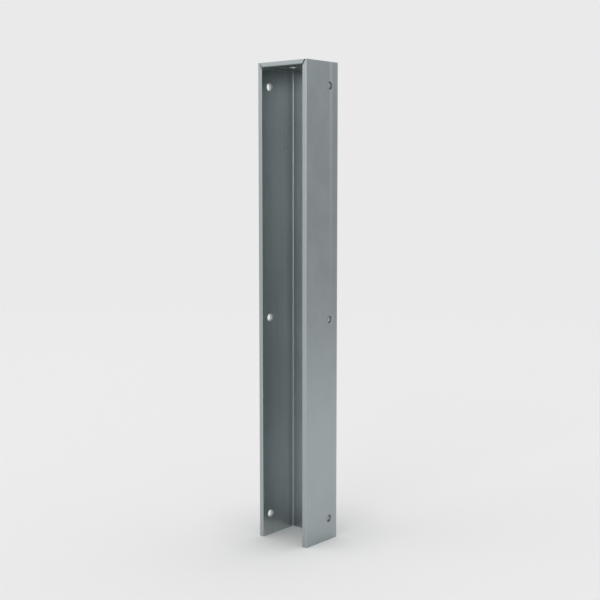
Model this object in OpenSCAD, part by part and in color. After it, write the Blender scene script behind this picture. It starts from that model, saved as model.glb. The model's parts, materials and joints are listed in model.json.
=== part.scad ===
// Steel stud: one upright channel folded from a single sheet.
// A web at the back, two side flanges and a top flap, open at the front and
// at the foot. The flap meets each flange in a mitred corner with a gap.
// Millimetres. The front is -Y, up is +Z, and the origin is the centre of the foot.

/* [Overall size] */
// Height of the stud, over the top flap
stud_h = 460; // [400:10:1200]
// Width over the two flanges
stud_w = 60; // [40:1:120]
// Depth from the front edges to the back of the web
stud_d = 50; // [36:1:100]

/* [Sheet] */
// Thickness of the steel
sheet_t = 5; // [3:0.5:6]
// Inside radius of the folds
fold_r = 0.8; // [0.5:0.1:4]
// Rounding along the front edges on the outside of the channel
outer_edge_r = 0.8; // [0.2:0.1:1.2]
// Rounding along the flanges' front edges on the inside
flange_edge_r = 0.2; // [0.1:0.1:1.4]
// Rounding along the flap's front edge on the underside
flap_edge_r = 1.4; // [0.1:0.1:1.4]

/* [Top corners] */
// Width of the gap between the flap and each flange
mitre_gap = 1.2; // [0.4:0.1:2]
// Width of the flat left on top of each flange, outside the gap
mitre_land = 1.4; // [0.5:0.1:1.6]

/* [Fixing holes] */
// Diameter of every fixing hole
hole_d = 7.5; // [4:0.5:12]
// Width of the bevel round both rims of every hole
hole_bevel = 0.3; // [0.1:0.1:1]
// Height of the bottom holes above the foot
low_hole_z = 21; // [15:1:60]
// Height of the middle holes above the foot
mid_hole_z = 217; // [100:1:300]
// Depth of the top holes below the top of the stud
high_hole_drop = 22; // [18:1:60]
// Distance of the left flange's holes behind its front edge
left_hole_inset = 11; // [9:1:20]
// Distance of the right flange's holes ahead of the stud's back
right_hole_inset = 15; // [14:1:20]
// Distance of the flap's hole behind its front edge
flap_hole_inset = 16; // [9:1:20]

/* [Hidden] */
$fn = 96;
half_w = stud_w / 2;
half_d = stud_d / 2;
outer_r = fold_r + sheet_t;          // outside radius of the folds
web_half = half_w - outer_r;         // half the flat width of the web
web_top = stud_h - outer_r;          // where the web turns into the flap's fold
past = 1;                            // how far a cut runs past the face that it opens
hole_heights = [low_hole_z, mid_hole_z, stud_h - high_hole_drop];

// The gap's slope, seen from the front: it climbs from the inside corner of the
// flange and the flap to the top, where it leaves the land outside it
mitre_run = sheet_t - mitre_land - mitre_gap / 2;   // sideways, over one sheet thickness
mitre_angle = atan(mitre_run / sheet_t);            // from upright
mitre_half = mitre_gap / 2 / cos(mitre_angle);      // half the gap, measured level

// A strip of sheet from x = 0 to x = length, with its far end's edges rounded.
// The outside of the channel is at y = 0, and inner_r rounds the edge inside.
module strip(length, inner_r) {
    square([length - outer_edge_r, sheet_t - inner_r]);
    translate([0, outer_edge_r])
        square([length - inner_r, sheet_t - outer_edge_r]);
    translate([0, outer_edge_r])
        square([length, sheet_t - outer_edge_r - inner_r]);
    translate([length - outer_edge_r, outer_edge_r])
        circle(outer_edge_r);
    translate([length - inner_r, sheet_t - inner_r])
        circle(inner_r);
}

// A quarter of a ring about the origin, from the -X axis round to the +Y axis
module fold() {
    intersection() {
        difference() {
            circle(outer_r);
            circle(fold_r);
        }
        translate([-outer_r, 0])
            square(outer_r);
    }
}

// A flange and its fold, seen from above, on the -X side
module flange_outline() {
    translate([-half_w, half_d - outer_r])
        rotate(-90)
            strip(stud_d - outer_r, flange_edge_r);
    translate([-web_half, half_d - outer_r])
        fold();
}

// The flap and its fold, seen from the +X side with the front at the left
module flap_outline() {
    translate([half_d - outer_r, stud_h])
        rotate(180)
            strip(stud_d - outer_r, flap_edge_r);
    translate([half_d - outer_r, web_top])
        mirror([1, 0])
            fold();
}

// The space between the two gaps' middles, or wider by clear at each side: a
// prism along Y from the flap's fold line to above the top
module between_mitres(clear) {
    low = web_top;
    high = stud_h + past;
    function edge_x(z) = half_w - sheet_t - (stud_h - sheet_t - z) * tan(mitre_angle) + clear;
    rotate([90, 0, 0])
        linear_extrude(stud_d + 2 * past, center = true)
            polygon([
                [-edge_x(low), low],
                [edge_x(low), low],
                [edge_x(high), high],
                [-edge_x(high), high]
            ]);
}

// Both flanges, cut back to the gap at the top
module flanges() {
    difference() {
        linear_extrude(stud_h)
            for (side = [0, 1])
                mirror([side, 0])
                    flange_outline();
        between_mitres(mitre_half);
    }
}

// The web, up to the flap's fold
module web() {
    translate([-web_half, half_d - sheet_t, 0])
        cube([2 * web_half, sheet_t, web_top]);
}

// The flap with its fold, cut to the gaps at both ends
module flap() {
    intersection() {
        rotate([90, 0, 90])
            linear_extrude(stud_w, center = true)
                flap_outline();
        between_mitres(-mitre_half);
    }
}

// A cutter along Z for one hole, centred on the middle of the sheet: the bore,
// and a cone at each rim for its bevel
module hole_cutter() {
    cylinder(d = hole_d, h = sheet_t + 2 * past, center = true);
    for (face = [0, 1])
        mirror([0, 0, face])
            translate([0, 0, sheet_t / 2 - hole_bevel])
                cylinder(d1 = hole_d, d2 = hole_d + 2 * (hole_bevel + past), h = hole_bevel + past);
}

// A hole through the flange on the side that side = 1 or -1 names
module flange_hole(side, y, z) {
    translate([side * (half_w - sheet_t / 2), y, z])
        rotate([0, 90, 0])
            hole_cutter();
}

// Every fixing hole
module holes() {
    for (z = hole_heights) {
        flange_hole(-1, left_hole_inset - half_d, z);
        flange_hole(1, half_d - right_hole_inset, z);
    }
    translate([0, flap_hole_inset - half_d, stud_h - sheet_t / 2])
        hole_cutter();
}

module steel_stud() {
    color("lightslategray")
        difference() {
            union() {
                flanges();
                web();
                flap();
            }
            holes();
        }
}

steel_stud();
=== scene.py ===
# A steel stud: one folded channel of plate, standing on a pale studio floor.
# Metres, +Z up, the front of the channel is -Y.
import json
import math
import bpy
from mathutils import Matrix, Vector


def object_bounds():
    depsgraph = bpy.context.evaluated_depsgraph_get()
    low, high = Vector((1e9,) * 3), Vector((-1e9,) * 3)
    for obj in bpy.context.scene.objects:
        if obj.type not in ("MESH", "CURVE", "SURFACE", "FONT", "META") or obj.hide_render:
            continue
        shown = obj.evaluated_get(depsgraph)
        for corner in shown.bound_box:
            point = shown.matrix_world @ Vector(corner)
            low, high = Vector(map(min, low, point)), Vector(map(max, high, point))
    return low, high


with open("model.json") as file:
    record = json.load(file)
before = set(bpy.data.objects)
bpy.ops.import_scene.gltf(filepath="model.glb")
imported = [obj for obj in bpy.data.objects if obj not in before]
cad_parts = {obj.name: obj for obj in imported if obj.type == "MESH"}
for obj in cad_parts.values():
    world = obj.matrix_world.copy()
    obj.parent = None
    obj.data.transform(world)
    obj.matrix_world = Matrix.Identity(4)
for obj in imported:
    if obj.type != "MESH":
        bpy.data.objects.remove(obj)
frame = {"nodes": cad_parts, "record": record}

cadLow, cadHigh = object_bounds()
studHeight = cadHigh.z - cadLow.z
print(f"frame loaded: {sorted(frame['nodes'])}, {studHeight:.3f} m tall")


# Small helpers for node trees

def addNode(tree, kind, **settings):
    node = tree.nodes.new(kind)
    for name, value in settings.items():
        setattr(node, name, value)
    return node


def plug(tree, value, socket):
    if isinstance(value, bpy.types.NodeSocket):
        tree.links.new(value, socket)
    else:
        socket.default_value = value


def calc(tree, operation, *values):
    node = addNode(tree, "ShaderNodeMath", operation=operation)
    for value, socket in zip(values, node.inputs):
        plug(tree, value, socket)
    return node.outputs[0]


def addUp(tree, *values):
    total = values[0]
    for value in values[1:]:
        total = calc(tree, "ADD", total, value)
    return total


def times(tree, *values):
    product = values[0]
    for value in values[1:]:
        product = calc(tree, "MULTIPLY", product, value)
    return product


def minus(tree, first, second):
    return calc(tree, "SUBTRACT", first, second)


# 1 where the value is over the limit and 0 elsewhere, and the other way round for under
def over(tree, value, limit):
    return calc(tree, "GREATER_THAN", value, limit)


def under(tree, value, limit):
    return calc(tree, "LESS_THAN", value, limit)


# low up to start and high from end on, with soft ends between them
def rampUp(tree, value, start, end, low=0.0, high=1.0):
    node = addNode(tree, "ShaderNodeMapRange", interpolation_type="SMOOTHSTEP")
    wanted = {"Value": value, "From Min": start, "From Max": end, "To Min": low, "To Max": high}
    for name, amount in wanted.items():
        plug(tree, amount, node.inputs[name])
    return node.outputs["Result"]


def rampDown(tree, value, start, end, high=1.0):
    return rampUp(tree, value, start, end, high, 0.0)


# The straight distance, from two distances at right angles
def longSide(tree, first, second):
    return calc(tree, "SQRT", addUp(tree, times(tree, first, first), times(tree, second, second)))


def distanceFrom(tree, place, centre):
    node = addNode(tree, "ShaderNodeVectorMath", operation="DISTANCE")
    tree.links.new(place, node.inputs[0])
    node.inputs[1].default_value = centre
    return node.outputs["Value"]


def mixValue(tree, amount, first, second):
    node = addNode(tree, "ShaderNodeMix", data_type="FLOAT")
    for name, value in {"Factor": amount, "A": first, "B": second}.items():
        plug(tree, value, node.inputs[name])
    return node.outputs["Result"]


def mixColour(tree, amount, first, second, blend="MIX"):
    node = addNode(tree, "ShaderNodeMix", data_type="RGBA", blend_type=blend)
    factor, start, end = node.inputs["Factor"], node.inputs[6], node.inputs[7]
    plug(tree, amount, factor)
    plug(tree, first, start)
    plug(tree, second, end)
    return node.outputs[2]


def emptyTree(holder):
    holder.use_nodes = True
    holder.node_tree.nodes.clear()
    return holder.node_tree


# The level direction at so many degrees round from the front, towards the right
def roundFromFront(azimuth):
    angle = math.radians(azimuth)
    return math.sin(angle), -math.cos(angle)


# Camera

view = {
    "lens": 65.5,             # millimetres
    "sensorWidth": 36,
    "clip": (0.05, 60),
    "distance": 2.284,        # from the stud's axis, in stud heights
    "height": 0.7542,         # above the floor, in stud heights
    "azimuth": 40.25,         # where the camera stands, in degrees round from the front
    "pan": 40.206,            # the way it is turned, in degrees round from the front
    "tilt": -6.101,           # degrees above level
}


def makeCamera(spec):
    data = bpy.data.cameras.new("studioCamera")
    data.lens = spec["lens"]
    data.sensor_width = spec["sensorWidth"]
    data.clip_start, data.clip_end = spec["clip"]
    camera = bpy.data.objects.new("studioCamera", data)
    right, back = roundFromFront(spec["azimuth"])
    reach = spec["distance"] * studHeight
    camera.location = (reach * right, reach * back, spec["height"] * studHeight)
    camera.rotation_euler = (math.radians(90 + spec["tilt"]), 0, math.radians(spec["pan"]))
    bpy.context.scene.collection.objects.link(camera)
    bpy.context.scene.camera = camera


makeCamera(view)
bpy.context.scene.view_settings.view_transform = "Standard"
print("camera placed")


# Studio: a dim room with a soft glow all round above the horizon, and four softboxes

room = {
    "backdrop": 0.8228,       # grey of the backdrop
    "backdropAzimuth": 235,   # the metal shows it on this side, in degrees round from the front
    "backdropReach": (0.50, 0.71),    # cosines of how far round it fades and is whole
    "dim": 0.50,              # level of the room
    "glow": 0.26,             # and what the glow adds
    "glowStart": (0.00, 0.30),        # heights of the direction where the glow comes and goes
    "glowEnd": (0.50, 0.85),
    "overhead": 0.38,         # added straight above
    "softboxDistance": 6.0,   # of each softbox from the middle of the stud
}
softboxes = {                 # degrees round from the front and above level, width and height
    "frontSoftbox": {"azimuth": 14, "elevation": 11, "size": (3.2, 1.8), "level": 3.8},
    "leftSoftbox": {"azimuth": -37, "elevation": 24, "size": (5.2, 1.6), "level": 1.00},
    "lowSoftbox": {"azimuth": -37, "elevation": 8, "size": (5.2, 1.6), "level": 0.44},
    "backSoftbox": {"azimuth": 180, "elevation": 24, "size": (6.0, 2.8), "level": 0.60},
}
floorSpec = {
    "grey": 0.910,
    "nearGrey": 0.845,        # painted shadow at the stud's foot
    "nearCentre": (-0.022, 0.026, 0.0),
    "nearReach": (0.03, 0.12),        # distances from there where that starts to fade and is gone
    "half": 5.0,              # half the floor's side
    "centre": (-0.5, -0.6, 0.0),      # it melts into the backdrop round this point
    "fade": (1.3, 2.7),       # between these distances
}


def makeRoom(spec):
    world = bpy.data.worlds.new("softRoom")
    bpy.context.scene.world = world
    tree = emptyTree(world)
    direction = addNode(tree, "ShaderNodeTexCoord").outputs["Generated"]
    parts = addNode(tree, "ShaderNodeSeparateXYZ")
    tree.links.new(direction, parts.inputs[0])
    up = parts.outputs["Z"]
    glow = rampUp(tree, up, *spec["glowStart"], 0.0, spec["glow"])
    glow = times(tree, glow, rampDown(tree, up, *spec["glowEnd"]))
    overhead = rampUp(tree, up, *spec["glowEnd"], 0.0, spec["overhead"])
    level = addUp(tree, spec["dim"], glow, overhead)
    behind = addNode(tree, "ShaderNodeVectorMath", operation="DOT_PRODUCT")
    tree.links.new(direction, behind.inputs[0])
    behind.inputs[1].default_value = (*roundFromFront(spec["backdropAzimuth"]), 0)
    path = addNode(tree, "ShaderNodeLightPath").outputs
    shiny = calc(tree, "MAXIMUM", path["Is Glossy Ray"], path["Is Transmission Ray"])
    shiny = times(tree, shiny, rampUp(tree, behind.outputs["Value"], *spec["backdropReach"]))
    seesBackdrop = calc(tree, "MAXIMUM", path["Is Camera Ray"], shiny)
    background = addNode(tree, "ShaderNodeBackground")
    background.inputs["Color"].default_value = (1, 1, 1, 1)
    plug(tree, mixValue(tree, seesBackdrop, level, spec["backdrop"]), background.inputs["Strength"])
    output = addNode(tree, "ShaderNodeOutputWorld")
    tree.links.new(background.outputs[0], output.inputs["Surface"])


def makeLamp(name, spec, distance):
    data = bpy.data.lights.new(name, "AREA")
    data.shape = "RECTANGLE"
    data.size, data.size_y = spec["size"]
    data.energy = spec["level"] * math.pi * spec["size"][0] * spec["size"][1]
    lamp = bpy.data.objects.new(name, data)
    right, back = roundFromFront(spec["azimuth"])
    above = math.radians(spec["elevation"])
    flat = distance * math.cos(above)
    aim = Vector((0, 0, studHeight / 2))
    lamp.location = aim + Vector((flat * right, flat * back, distance * math.sin(above)))
    lamp.rotation_euler = (aim - lamp.location).to_track_quat("-Z", "Y").to_euler()
    lamp.visible_camera = False
    bpy.context.scene.collection.objects.link(lamp)


def makeFloor(spec):
    half = spec["half"]
    data = bpy.data.meshes.new("floor")
    corners = [(-half, -half, 0), (half, -half, 0), (half, half, 0), (-half, half, 0)]
    data.from_pydata(corners, [], [(0, 1, 2, 3)])
    floor = bpy.data.objects.new("floor", data)
    bpy.context.scene.collection.objects.link(floor)
    material = bpy.data.materials.new("paleFloor")
    tree = emptyTree(material)
    place = addNode(tree, "ShaderNodeTexCoord").outputs["Object"]
    fade = rampUp(tree, distanceFrom(tree, place, spec["centre"]), *spec["fade"])
    fromFoot = distanceFrom(tree, place, spec["nearCentre"])
    # painted shadow: the floor's grey is darker round the stud's foot
    grey = rampUp(tree, fromFoot, *spec["nearReach"], spec["nearGrey"], spec["grey"])
    matt = addNode(tree, "ShaderNodeBsdfDiffuse")
    tree.links.new(grey, matt.inputs["Color"])
    clear = addNode(tree, "ShaderNodeBsdfTransparent")
    both = addNode(tree, "ShaderNodeMixShader")
    tree.links.new(fade, both.inputs[0])
    tree.links.new(matt.outputs[0], both.inputs[1])
    tree.links.new(clear.outputs[0], both.inputs[2])
    output = addNode(tree, "ShaderNodeOutputMaterial")
    tree.links.new(both.outputs[0], output.inputs["Surface"])
    data.materials.append(material)


makeRoom(room)
for lampName, lampSpec in softboxes.items():
    makeLamp(lampName, lampSpec, room["softboxDistance"])
makeFloor(floorSpec)
print("studio made")


# Steel: satin plate with a cloudy tint and a grain rolled along its length, punched holes
# with painted light and shade, a lighter line down the right side, painted highlights in the folds
# and painted shade inside

steel = {
    "sheet": 0.005,
    "skin": 0.0001,           # this near a face counts as on it
    "slack": 0.00005,         # and this far past one still does
    "darkTint": (0.345, 0.390, 0.400, 1),
    "lightTint": (0.445, 0.488, 0.496, 1),

    # patterns in the plate, with their sizes across and along the stud
    "clouds": {"width": 0.058, "length": 0.0928, "detail": 4, "coarse": 0.55},
    "mottle": {"width": 0.018, "length": 0.0234, "detail": 2, "shift": 5.9},
    "bands": {"width": 0.0045, "length": 0.11, "detail": 2, "shift": 3.1},
    "grain": {"width": 0.0012, "length": 0.050, "detail": 2, "shift": 7.7},
    "speckle": {"width": 0.0007, "length": 0.0007, "detail": 2, "coarse": 0.6, "shift": 1.3},

    # how much they move the tint, from halfway between the two
    "middleTone": 0.5,
    "cloudShare": 0.9,
    "mottleShare": 1.1,       # on the outside only, coming in between these heights
    "mottleHeights": (0.10, 0.30),
    "bandShare": 0.10,
    "insideBandShare": 0.70,  # and this much more inside
    "grainShare": 0.08,

    # and the roughness and relief
    "roughness": 0.30,
    "cloudRough": 0.10,
    "grainRough": 0.06,
    "speckleRough": 0.05,
    "bumpDistance": 0.00004,
    "bumpStrength": 0.12,

    # rubbed front edges, fading between these depths, and sheared faces
    "edgeTint": (0.395, 0.437, 0.446, 1),
    "edgeDepth": (0.00032, 0.0008),
    "cutDepth": (0.00005, 0.0003),
    "cutRough": 0.10,

    # a lighter line down the right side, fading out lower down
    "rubbedTint": (0.475, 0.520, 0.530, 1),
    "rubbedHalfWidth": (0.0006, 0.0030),
    "rubbedBehind": 0.0010,   # behind the middle of its holes
    "rubbedHeights": (0.17, 0.44),
    "rubbedSkin": 0.0002,

    # walls of the punched holes, from the hole's radius outwards
    "wallFade": (0.00002, 0.00012),
    "wallRough": 0.40,
    "wallTint": (0.370, 0.398, 0.406, 1),
    "innerWallTint": (0.760, 0.795, 0.805, 1),    # painted light near the inside of the sheet
    "innerWallDepth": (0.0004, 0.0020),           # fading between these depths into it
    "leftWallTint": (0.560, 0.590, 0.600, 1),     # painted light on the left
    "rolledTint": (0.230, 0.250, 0.256, 1),       # but painted shade near the inside of the sheet
    "rolledDepth": (0.0006, 0.0015),
    "breakTint": (0.960, 0.970, 0.972, 1),        # and a painted highlight near the outside of the sheet
    "breakDepth": (0.0030, 0.0042),
    "rimTint": (0.600, 0.640, 0.650, 1),          # painted highlights on the rims on the right
    "rimWidth": (0.0002, 0.0004),
    "nearSheet": 1.1,         # as many sheets in from the outside still count as that side

    # painted light: a pale matt patch in the flap's hole and, less, on the slit's walls on the left
    "chalkTint": (0.950, 0.960, 0.965, 1),
    "chalkMargin": 0.0005,    # beyond the hole's radius
    "chalkAzimuth": 40,       # its band runs this way through the hole, in degrees from the front
    "chalkHalfWidth": (0.0020, 0.0037),
    "slitStart": 0.0008,      # how far out of its inner corner the slit starts
    "slitShare": 0.3,

    # painted light and shade inside the channel
    "insideTint": (1.25, 1.20, 1.185, 1),         # painted light on the flanges, against the web
    "cleanShare": 0.03,       # painted light low down
    "webCleanShare": 0.10,    # and more so on the web
    "cleanStart": (0.002, 0.020),     # heights where that comes and goes
    "cleanEnd": (0.060, 0.125),
    "webDullShare": 0.045,    # painted shade on the web above it
    "dullStart": (0.110, 0.165),
    "dullEnd": (0.210, 0.300),

    # painted highlight in the upright folds, and on a strip beside them on the flanges
    "foldTint": (0.380, 0.425, 0.434, 1),
    "foldStart": 0.00004,     # clear of both faces by this
    "foldReach": 0.0012,
    "foldRough": 0.10,
    "stripTint": (0.800, 0.860, 0.870, 1),
    "stripReach": (0.0009, 0.0018),

    # painted shade in the inside corners, farther out on the web, and under the flap
    "grimeTint": (0.100, 0.112, 0.115, 1),
    "grimeReach": (0.0010, 0.0110),
    "webGrimeReach": 0.0050,
    "grimeShare": 0.27,
    "flapGrimeReach": (0.004, 0.026),
    "flapGrimeShare": 0.10,
    "undersideDepth": (0.0001, 0.0004),           # on the flap's underside
    "undersideShare": 0.22,
    "lowerEdge": 0.0014,      # and on the flap's rounded lower edge
    "lowerEdgeWhole": 0.7,    # whole below this share of it
    "lowerEdgeShare": 0.85,
}


def noise(tree, place, width, length, detail, coarse=0.5, shift=0.0):
    shaped = addNode(tree, "ShaderNodeMapping")
    tree.links.new(place, shaped.inputs["Vector"])
    shaped.inputs["Location"].default_value = (shift, shift, shift)
    shaped.inputs["Scale"].default_value = (1 / width, 1 / width, 1 / length)
    node = addNode(tree, "ShaderNodeTexNoise")
    node.inputs["Scale"].default_value = 1.0
    node.inputs["Detail"].default_value = detail
    node.inputs["Roughness"].default_value = coarse
    tree.links.new(shaped.outputs[0], node.inputs["Vector"])
    return minus(tree, node.outputs["Fac"], 0.5)      # to either side of nothing


# Heights and depths of the holes and their radius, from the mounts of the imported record
def holePlaces(mounts):
    sides = {}
    for mount in mounts:
        if mount["kind"] == "bolt_pattern":
            x, y, z = mount["pos_m"]
            half = mount["dims"]["spacing_y_mm"] / 2000       # from millimetres
            sides.setdefault((x > 0, y), set()).update({round(z - half, 6), round(z + half, 6)})
            radius = mount["dims"]["hole_r_mm"] / 1000
        if mount["kind"] == "bore":
            flapHole = mount["pos_m"]
    return sides, flapHole, radius


# Distance from the axis of the nearest hole in the flanges
def fromSideHoles(tree, x, y, z, sides):
    offsets = {}
    for (isRight, depth), heights in sides.items():
        gaps = [calc(tree, "ABSOLUTE", minus(tree, z, height)) for height in sorted(heights)]
        nearest = gaps[0]
        for gap in gaps[1:]:
            nearest = calc(tree, "MINIMUM", nearest, gap)
        offsets[isRight] = longSide(tree, minus(tree, y, depth), nearest)
    return mixValue(tree, over(tree, x, 0.0), offsets[False], offsets[True])


# Distance from the axis of the flap's hole, and where across it the wall is painted pale
def fromTopHole(tree, x, y, z, flapHole, spec):
    flapX = minus(tree, x, flapHole[0])
    flapY = minus(tree, y, flapHole[1])
    right, back = roundFromFront(spec["chalkAzimuth"])
    aside = addUp(tree, times(tree, flapX, -back), times(tree, flapY, right))
    paleBand = rampDown(tree, calc(tree, "ABSOLUTE", aside), *spec["chalkHalfWidth"])
    belowFlap = under(tree, z, cadHigh.z - spec["sheet"] * spec["nearSheet"])
    distance = addUp(tree, longSide(tree, flapX, flapY), belowFlap)   # a metre more below the flap
    return distance, paleBand


# The inside of the channel: its faces, the rounded inside of its folds and a strip beside
# them, and painted shade in its corners and under the flap
def insideMarks(tree, x, y, z, spec):
    fromSide = minus(tree, cadHigh.x - spec["sheet"], calc(tree, "ABSOLUTE", x))
    fromWeb = minus(tree, cadHigh.y - spec["sheet"], y)
    fromFlap = minus(tree, cadHigh.z - spec["sheet"], z)
    fromUpright = calc(tree, "MINIMUM", fromSide, fromWeb)
    nearest = calc(tree, "MINIMUM", fromUpright, fromFlap)
    inside = over(tree, nearest, -spec["slack"])
    atFlange = under(tree, fromSide, spec["skin"])
    onFlange = times(tree, atFlange, inside)
    onWeb = minus(tree, inside, onFlange)

    farthest = calc(tree, "MAXIMUM", calc(tree, "MAXIMUM", fromSide, fromWeb), fromFlap)
    fromCorner = minus(tree, addUp(tree, fromSide, fromWeb, fromFlap), farthest)
    upright = times(tree, over(tree, fromFlap, spec["foldReach"]), inside)
    fold = times(tree, over(tree, fromUpright, spec["foldStart"]),
                 under(tree, fromCorner, spec["foldReach"]), upright)
    strip = times(tree, rampDown(tree, fromWeb, *spec["stripReach"]), atFlange, upright)

    # painted shade: darker in the inside corners and under the flap
    shadeStart, shadeEnd = spec["grimeReach"]
    shadeEnd = addUp(tree, times(tree, onWeb, spec["webGrimeReach"]), shadeEnd)
    cornerShade = rampDown(tree, addUp(tree, fromSide, fromWeb), shadeStart, shadeEnd, spec["grimeShare"])
    flapShade = rampDown(tree, fromFlap, *spec["flapGrimeReach"], spec["flapGrimeShare"])
    underside = rampDown(tree, fromFlap, *spec["undersideDepth"], spec["undersideShare"])
    grime = times(tree, addUp(tree, cornerShade, flapShade, underside), inside)

    # painted shade on the front of the flap, between its flat front and its underside
    lowerEdge = spec["lowerEdge"]
    # painted shade on the flap's rounded lower edge
    low = times(tree, under(tree, y, cadLow.y + lowerEdge), over(tree, fromSide, 0.0),
                rampUp(tree, fromFlap, -lowerEdge, -lowerEdge * spec["lowerEdgeWhole"]),
                spec["lowerEdgeShare"])
    return {
        "inside": inside,
        "onFlange": onFlange,
        "onWeb": onWeb,
        "fold": fold,
        "strip": strip,
        "grime": calc(tree, "MAXIMUM", grime, low),
    }


# The cut walls of the slit between the flap and the left flange, where they are painted pale
def leftSlit(tree, x, y, z, spec):
    across = minus(tree, cadLow.x + spec["sheet"], x)
    up = minus(tree, z, cadHigh.z - spec["sheet"])
    return times(tree, over(tree, calc(tree, "MINIMUM", across, up), -spec["slitStart"]),
                 under(tree, calc(tree, "MAXIMUM", across, up), spec["sheet"] - spec["skin"]),
                 over(tree, y, cadLow.y + spec["edgeDepth"][1]),
                 under(tree, y, cadHigh.y - spec["sheet"]),
                 spec["slitShare"])


# The plate's own colour, with its patterns, and painted light and shade inside the channel
def plateColour(tree, z, patterns, marks, spec):
    inside = marks["inside"]
    mottleShare = rampUp(tree, z, *spec["mottleHeights"], 0.0, spec["mottleShare"])
    mottleShare = times(tree, minus(tree, 1.0, inside), mottleShare)
    bandShare = addUp(tree, spec["bandShare"], times(tree, inside, spec["insideBandShare"]))
    tone = addUp(tree, spec["middleTone"],
                 times(tree, patterns["clouds"], spec["cloudShare"]),
                 times(tree, patterns["mottle"], mottleShare),
                 times(tree, patterns["bands"], bandShare),
                 times(tree, patterns["grain"], spec["grainShare"]))
    colour = mixColour(tree, tone, spec["darkTint"], spec["lightTint"])
    # painted light: the flanges inside are made lighter
    colour = mixColour(tree, marks["onFlange"], colour, spec["insideTint"], "MULTIPLY")

    # painted light low down inside, and painted shade on the web above it
    lowLight = times(tree, rampUp(tree, z, *spec["cleanStart"]), rampDown(tree, z, *spec["cleanEnd"]))
    shadeBand = times(tree, rampUp(tree, z, *spec["dullStart"]), rampDown(tree, z, *spec["dullEnd"]))
    lighter = addUp(tree, times(tree, inside, spec["cleanShare"]),
                    times(tree, marks["onWeb"], spec["webCleanShare"]))
    darker = times(tree, marks["onWeb"], spec["webDullShare"])
    shade = minus(tree, times(tree, lowLight, lighter), times(tree, shadeBand, darker))
    shaded = addNode(tree, "ShaderNodeVectorMath", operation="SCALE")
    tree.links.new(colour, shaded.inputs[0])
    plug(tree, addUp(tree, shade, 1.0), shaded.inputs["Scale"])
    return shaded.outputs[0]


# A lighter line down the right side, level with its holes, fading out lower down
def lighterLine(tree, x, y, z, sides, spec):
    lineDepth = [depth for isRight, depth in sides if isRight][0]
    fromLine = calc(tree, "ABSOLUTE", minus(tree, y, lineDepth + spec["rubbedBehind"]))
    return times(tree, rampDown(tree, fromLine, *spec["rubbedHalfWidth"]),
                 rampUp(tree, z, *spec["rubbedHeights"]),
                 over(tree, x, cadHigh.x - spec["rubbedSkin"]))


# Colour of the holes' walls, with painted light and shade, by the depth into the sheet from its
# inside
def wallColour(tree, x, inFlapHole, spec):
    into = minus(tree, calc(tree, "ABSOLUTE", x), cadHigh.x - spec["sheet"])
    wallHighlight = rampUp(tree, into, *spec["breakDepth"])
    wallShade = rampDown(tree, into, *spec["rolledDepth"])
    leftWall = mixColour(tree, wallHighlight, spec["leftWallTint"], spec["breakTint"])
    leftWall = mixColour(tree, wallShade, leftWall, spec["rolledTint"])
    inner = rampDown(tree, into, *spec["innerWallDepth"])
    rightWall = mixColour(tree, inner, spec["wallTint"], spec["innerWallTint"])
    colour = mixColour(tree, under(tree, x, 0.0), rightWall, leftWall)
    return mixColour(tree, inFlapHole, colour, spec["wallTint"])


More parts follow.
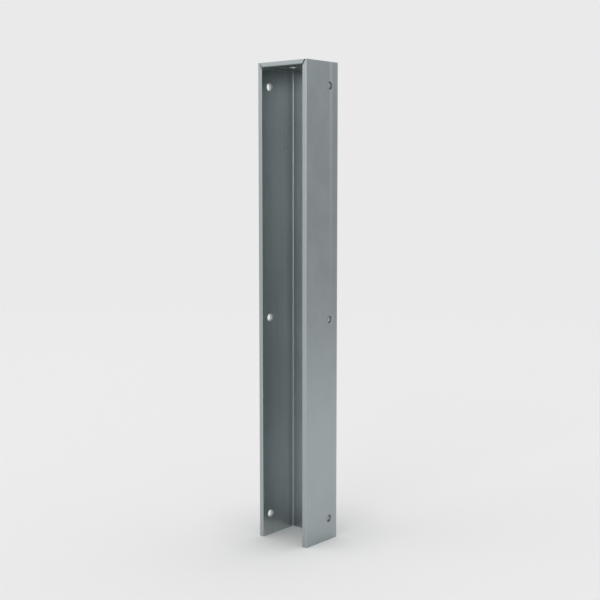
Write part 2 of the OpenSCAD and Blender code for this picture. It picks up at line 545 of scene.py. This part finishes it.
def makeSteel(spec, mounts):
    material = bpy.data.materials.new("satinSteel")
    tree = emptyTree(material)
    place = addNode(tree, "ShaderNodeTexCoord").outputs["Object"]
    parts = addNode(tree, "ShaderNodeSeparateXYZ")
    tree.links.new(place, parts.inputs[0])
    x, y, z = parts.outputs
    sides, flapHole, holeRadius = holePlaces(mounts)
    patternNames = ("clouds", "mottle", "bands", "grain", "speckle")
    patterns = {name: noise(tree, place, **spec[name]) for name in patternNames}
    marks = insideMarks(tree, x, y, z, spec)

    fromFlapHole, paleBand = fromTopHole(tree, x, y, z, flapHole, spec)
    fromHole = calc(tree, "MINIMUM", fromSideHoles(tree, x, y, z, sides), fromFlapHole)
    fromRim = minus(tree, fromHole, holeRadius)
    wall = rampDown(tree, fromRim, *spec["wallFade"])
    # painted highlights on the rims of the holes on the right
    rimHighlight = times(tree, rampDown(tree, fromRim, *spec["rimWidth"]), minus(tree, 1.0, wall),
                over(tree, x, cadHigh.x - spec["sheet"] * spec["nearSheet"]))
    inFlapHole = times(tree, under(tree, fromFlapHole, holeRadius + spec["chalkMargin"]), wall)
    # painted light: a pale matt patch in the flap's hole and on the slit's walls
    paleLight = calc(tree, "MAXIMUM", times(tree, inFlapHole, paleBand), leftSlit(tree, x, y, z, spec))

    behindFront = minus(tree, y, cadLow.y)
    edge = rampDown(tree, behindFront, *spec["edgeDepth"])
    front = rampDown(tree, behindFront, *spec["cutDepth"])
    foot = under(tree, z, cadLow.z + spec["slack"])
    cut = calc(tree, "MAXIMUM", front, foot)

    # each layer covers those before it
    colour = plateColour(tree, z, patterns, marks, spec)
    layers = (
        (lighterLine(tree, x, y, z, sides, spec), spec["rubbedTint"]),
        (edge, spec["edgeTint"]),
        # painted shade in the inside corners and under the flap
        (marks["grime"], spec["grimeTint"]),
        # painted highlights in the folds and on the strip beside them
        (marks["fold"], spec["foldTint"]),
        (marks["strip"], spec["stripTint"]),
        # painted highlights on the rims, and painted light and shade on the hole walls
        (rimHighlight, spec["rimTint"]),
        (wall, wallColour(tree, x, inFlapHole, spec)),
        # painted light in the flap's hole and the left slit
        (paleLight, spec["chalkTint"]),
    )
    for amount, tint in layers:
        colour = mixColour(tree, amount, colour, tint)

    roughness = addUp(tree, spec["roughness"],
                      times(tree, patterns["clouds"], spec["cloudRough"]),
                      times(tree, patterns["grain"], spec["grainRough"]),
                      times(tree, patterns["speckle"], spec["speckleRough"]),
                      times(tree, cut, spec["cutRough"]),
                      times(tree, wall, spec["wallRough"]),
                      times(tree, marks["fold"], spec["foldRough"]),
                      paleLight)
    bump = addNode(tree, "ShaderNodeBump")
    bump.inputs["Strength"].default_value = spec["bumpStrength"]
    bump.inputs["Distance"].default_value = spec["bumpDistance"]
    tree.links.new(addUp(tree, patterns["grain"], patterns["speckle"]), bump.inputs["Height"])

    shader = addNode(tree, "ShaderNodeBsdfPrincipled")
    tree.links.new(minus(tree, 1.0, paleLight), shader.inputs["Metallic"])
    tree.links.new(colour, shader.inputs["Base Color"])
    tree.links.new(roughness, shader.inputs["Roughness"])
    tree.links.new(bump.outputs[0], shader.inputs["Normal"])
    output = addNode(tree, "ShaderNodeOutputMaterial")
    tree.links.new(shader.outputs[0], output.inputs["Surface"])
    return material


stud = frame["nodes"]["steel_stud"]
stud.material_slots[0].material = makeSteel(steel, frame["record"]["mounts"])
print("steel finished")


# The end

print("the end")
